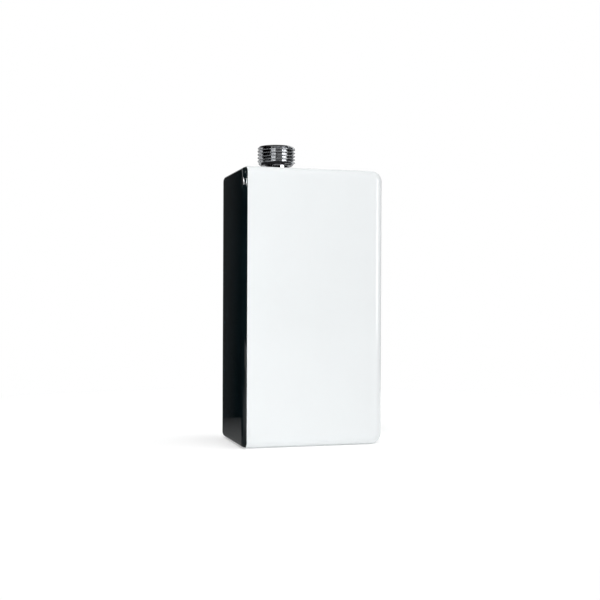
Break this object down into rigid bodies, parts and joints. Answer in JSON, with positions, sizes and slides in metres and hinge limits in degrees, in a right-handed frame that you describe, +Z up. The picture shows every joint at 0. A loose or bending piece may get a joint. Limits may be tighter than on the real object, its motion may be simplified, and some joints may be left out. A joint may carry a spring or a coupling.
{
  "type": "instant electric water heater",
  "caption": "In-line instant electric water heater: a white box-shaped housing with a gloss black end cover, a male threaded outlet nipple on top and a flow switch inside.",
  "frame": {"origin": "centre of the bounding box on the bottom face", "axes": "+Z up along the water flow, -Y out of the large white front, -X out of the black end cover"},
  "size_m": [0.079, 0.053, 0.1641],
  "materials": {
    "housing_white": "white moulded plastic, soft gloss",
    "cover_black": "black moulded plastic, high gloss",
    "nipple_metal": "nickel-plated, bright",
    "rubber_black": "black rubber, matt",
    "steel": "plain steel",
    "plated_steel": "tin-plated sheet",
    "aluminium": "drawn aluminium, satin",
    "brass": "machined brass",
    "copper": "copper tube, plain",
    "grey_plastic": "glass-filled plastic, matt",
    "natural_plastic": "natural plastic, matt",
    "ceramic": "steatite, matt",
    "switch_black": "black thermoset, matt",
    "red_plastic": "red plastic, satin",
    "brown_lead": "insulated wire",
    "blue_lead": "insulated wire",
    "green_lead": "insulated wire, green and yellow"
  },
  "bodies": {
    "heater": {"housing_shell": "housing_white", "end_cover": "cover_black", "cover_gasket": "rubber_black", "cover_screws": "steel", "outlet_nipple": "nipple_metal", "outlet_grommet": "rubber_black", "inlet_socket": "brass", "inlet_seal": "rubber_black", "inlet_strainer": "natural_plastic", "flow_limiter": "red_plastic", "inlet_o_ring": "rubber_black", "flow_switch_body": "grey_plastic", "diaphragm": "rubber_black", "plunger_spring": "steel", "flow_switch_cap": "grey_plastic", "cap_screws": "steel", "switch_bracket": "plated_steel", "switch_pins": "steel", "microswitch_case": "switch_black", "microswitch_tabs": "brass", "chamber_vessel": "copper", "chamber_lid": "steel", "chamber_seal": "rubber_black", "lid_screws": "steel", "vessel_o_ring": "rubber_black", "left_element": "steel", "right_element": "steel", "element_bushings": "brass", "element_insulators": "ceramic", "element_terminals": "plated_steel", "element_links": "brass", "cutout_cap": "aluminium", "cutout_bracket": "plated_steel", "cutout_screws": "steel", "cutout_case": "switch_black", "cutout_tabs": "brass", "terminal_block": "natural_plastic", "terminal_screws": "steel", "block_screws": "steel", "earth_lug": "plated_steel", "earth_screw": "brass", "cable_grommet": "rubber_black", "live_lead": "brown_lead", "cutout_lead": "brown_lead", "switched_lead": "brown_lead", "neutral_lead": "blue_lead", "earth_lead": "green_lead"},
    "plunger": {"flow_plunger": "natural_plastic"},
    "switch_button": {"microswitch_button": "red_plastic"},
    "reset_button": {"cutout_button": "red_plastic"}
  },
  "joints": [
    {"name": "flow_plunger_slide", "type": "slide", "parent": "heater", "child": "plunger", "axis": [1, 0, 0], "range_m": [0, 0.0015], "stiffness_N_per_m": 300, "deforming": ["diaphragm", "plunger_spring"]},
    {"name": "microswitch_button_slide", "type": "slide", "parent": "heater", "child": "switch_button", "axis": [1, 0, 0], "range_m": [0, 0.0015], "stiffness_N_per_m": 200},
    {"name": "cutout_button_slide", "type": "slide", "parent": "heater", "child": "reset_button", "axis": [-1, 0, 0], "range_m": [0, 0.0015], "stiffness_N_per_m": 400}
  ],
  "couplings": [
    {"joint": "microswitch_button_slide", "follows": "flow_plunger_slide", "ratio": 1}
  ]
}
